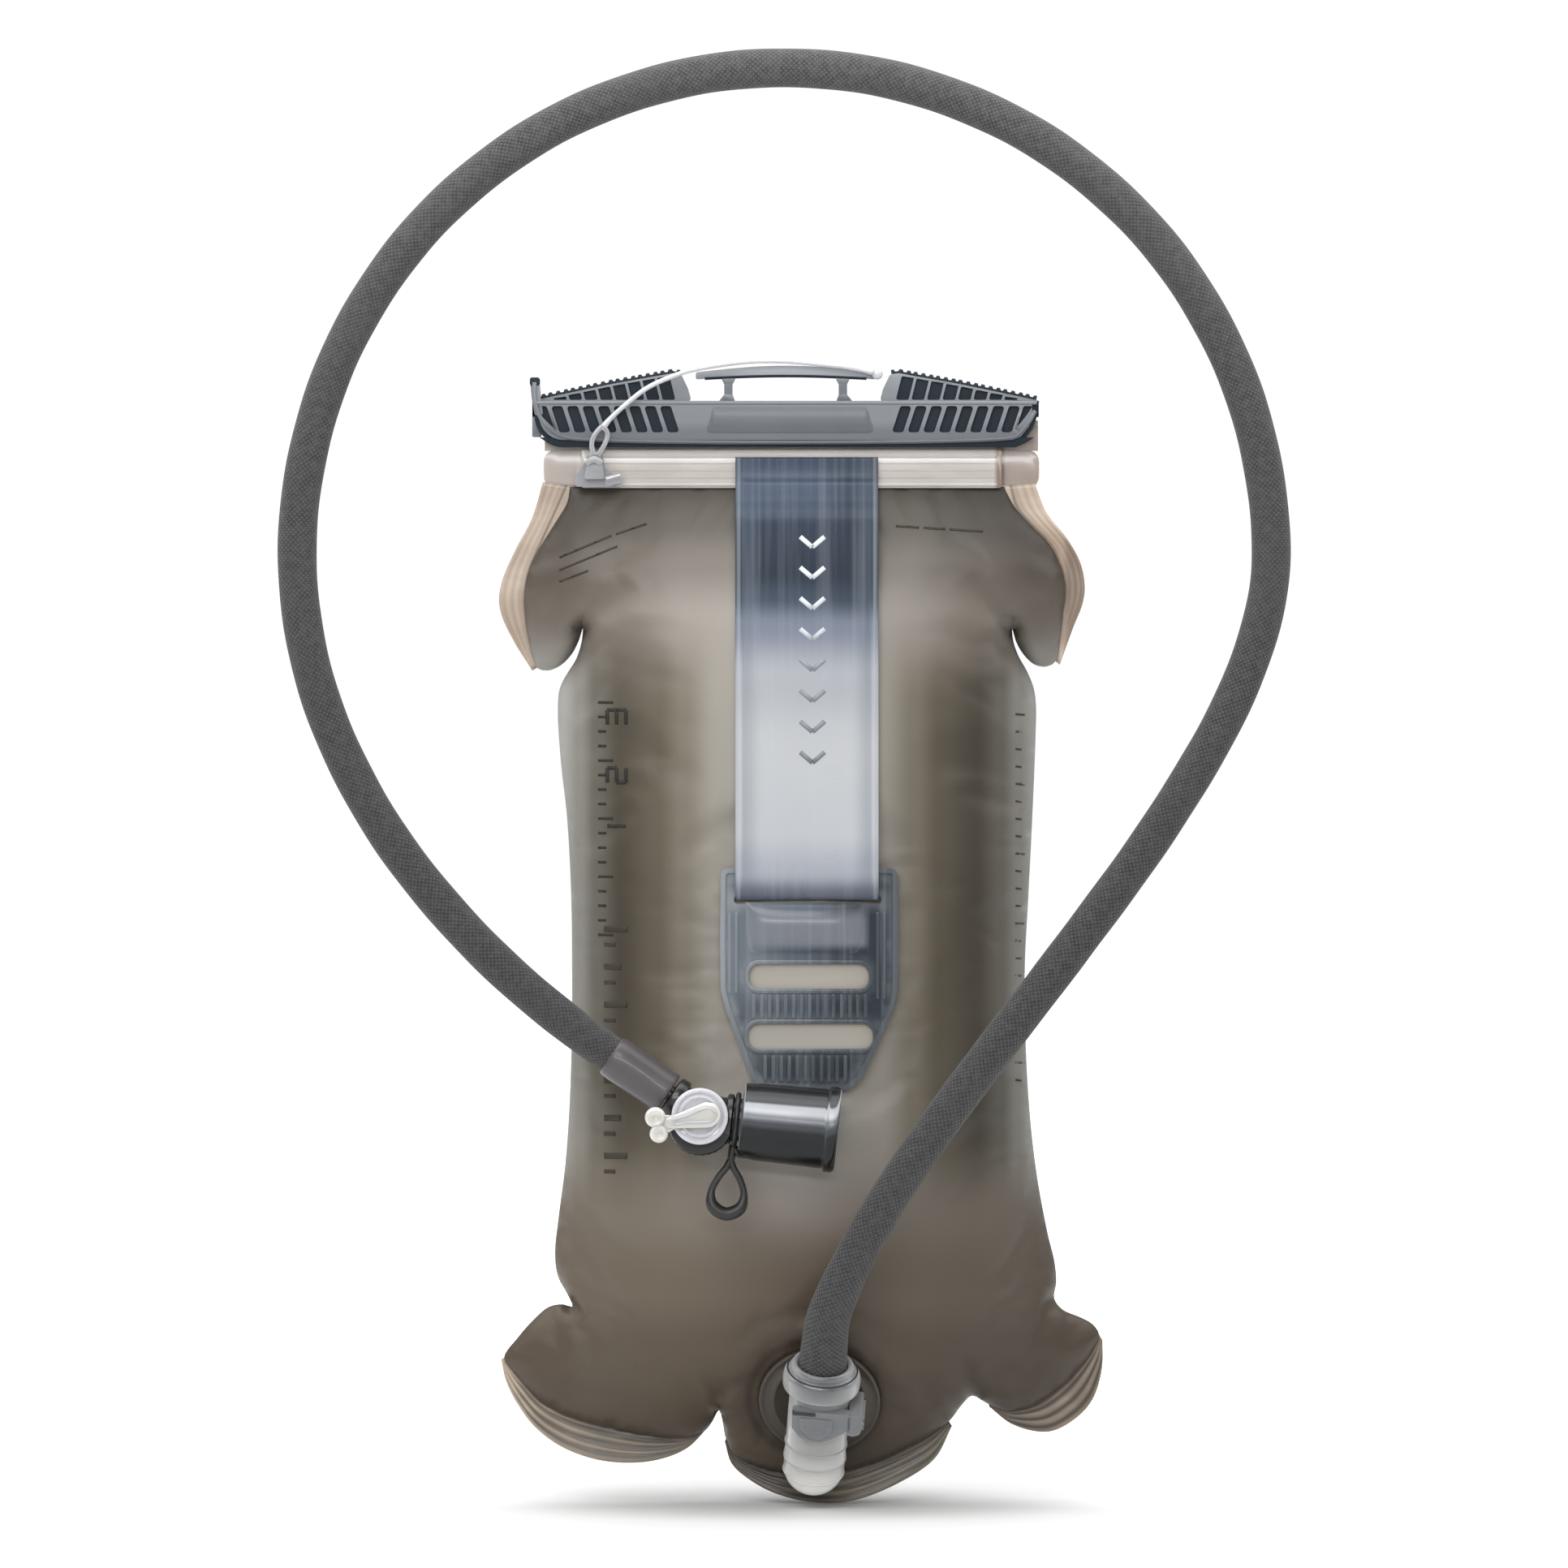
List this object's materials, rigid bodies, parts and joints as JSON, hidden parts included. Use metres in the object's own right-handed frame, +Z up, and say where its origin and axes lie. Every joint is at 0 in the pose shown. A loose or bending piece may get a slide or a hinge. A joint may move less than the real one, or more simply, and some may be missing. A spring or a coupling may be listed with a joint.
{
  "type": "hydration bladder",
  "caption": "Full soft water bag with a slide-on seal bar, handle strap, plug-in drinking hose looped over the top, shut-off bite valve and dust cover.",
  "frame": {"origin": "centre of the hang slot in the seal bar's handle", "axes": "+X to the right seen from the front, +Y towards the back of the bag, +Z up towards the top of the hose loop"},
  "size_m": [0.3474, 0.1181, 0.5001],
  "materials": {
    "film": "smoke-tinted translucent film, satin",
    "film_back": "smoke-tinted translucent film, satin",
    "seam": "clear beige welded margin, satin",
    "strip": "milky beige moulded strip, glossy",
    "strap": "translucent elastomer, dark blue-grey at the top to pale grey",
    "plate": "translucent blue-grey elastomer with fine ribbing",
    "bar": "satin blue-grey moulding",
    "cord": "clear elastomer",
    "port": "frosted translucent white",
    "flange": "smoke elastomer, satin",
    "button": "frosted grey",
    "spring": "stainless wire",
    "rubber": "black elastomer seal",
    "tube": "clear tube",
    "sleeve": "dark grey woven sleeve",
    "cuff": "mauve-grey smooth sleeve end",
    "valve": "black moulding",
    "dial": "clear white moulding",
    "bite": "soft grey silicone",
    "cover": "glossy smoke-black"
  },
  "bodies": {
    "bag": {"bag_film_front": "film", "bag_film_back": "film_back", "shoulder_seam_left": "seam", "shoulder_seam_right": "seam", "bottom_seam": "seam", "mouth_strip_front": "strip", "mouth_strip_back": "strip", "handle_strap": "strap", "strap_ladder_plate": "plate", "tether_clip": "cord", "port_flange": "flange", "port_body": "port", "poppet_spring": "spring", "button_spring": "spring"},
    "slider": {"seal_bar": "bar", "tether_cord": "cord"},
    "poppet": {"port_poppet": "port"},
    "button": {"release_button": "button"},
    "plug": {"plug_body": "port", "plug_o_ring": "rubber", "hose_tube_lower": "tube", "hose_sleeve_lower": "sleeve"},
    "arch": {"hose_tube_arch": "tube", "hose_sleeve_arch": "sleeve"},
    "hose_end": {"hose_tube_upper": "tube", "hose_sleeve_upper": "sleeve", "hose_cuff_upper": "cuff"},
    "valve": {"valve_body": "valve", "bite_mouthpiece": "bite", "cover_tether": "rubber"},
    "lever": {"shutoff_core": "dial", "core_o_rings": "rubber", "shutoff_lever": "dial"},
    "cover": {"dust_cover": "cover"}
  },
  "joints": [
    {"name": "slider_slide", "type": "slide", "parent": "bag", "child": "slider", "axis": [-1, 0, 0], "range_m": [0, 0.18], "deforming": ["tether_cord"]},
    {"name": "plug_pull", "type": "slide", "parent": "bag", "child": "plug", "axis": [0.0747, -0.515, 0.8539], "range_m": [0, 0.028]},
    {"name": "poppet_close", "type": "slide", "parent": "bag", "child": "poppet", "axis": [0.0747, -0.515, 0.8539], "range_m": [0, 0.0031], "deforming": ["poppet_spring"]},
    {"name": "button_press", "type": "slide", "parent": "bag", "child": "button", "axis": [-0.9962, 0, 0.0872], "range_m": [0, 0.0016], "stiffness_N_per_m": 900, "springref_m": -0.001, "deforming": ["button_spring"]},
    {"name": "hose_swing", "type": "hinge", "parent": "plug", "child": "arch", "pos_m": [0.09957, -0.06786, -0.19018], "axis": [0, 0, 1], "range_deg": [0, 40], "stiffness_Nm_per_rad": 0.05},
    {"name": "hose_lift", "type": "hinge", "parent": "arch", "child": "hose_end", "pos_m": [-0.13327, -0.053, -0.15784], "axis": [-0.6629, 0, -0.7487], "range_deg": [0, 40], "stiffness_Nm_per_rad": 0.05},
    {"name": "valve_swivel", "type": "hinge", "parent": "hose_end", "child": "valve", "pos_m": [-0.0294, -0.056, -0.2498], "axis": [0.8241, 0, -0.5664], "range_deg": [0, 100]},
    {"name": "lever_turn", "type": "hinge", "parent": "valve", "child": "lever", "pos_m": [-0.0294, -0.056, -0.2498], "axis": [0, -1, 0], "range_deg": [0, 90]},
    {"name": "cover_pull", "type": "slide", "parent": "valve", "child": "cover", "axis": [0.9947, 0, -0.1028], "range_m": [0, 0.016], "deforming": ["cover_tether"]}
  ],
  "couplings": [
    {"joint": "poppet_close", "follows": "plug_pull", "ratio": 0.11071}
  ]
}
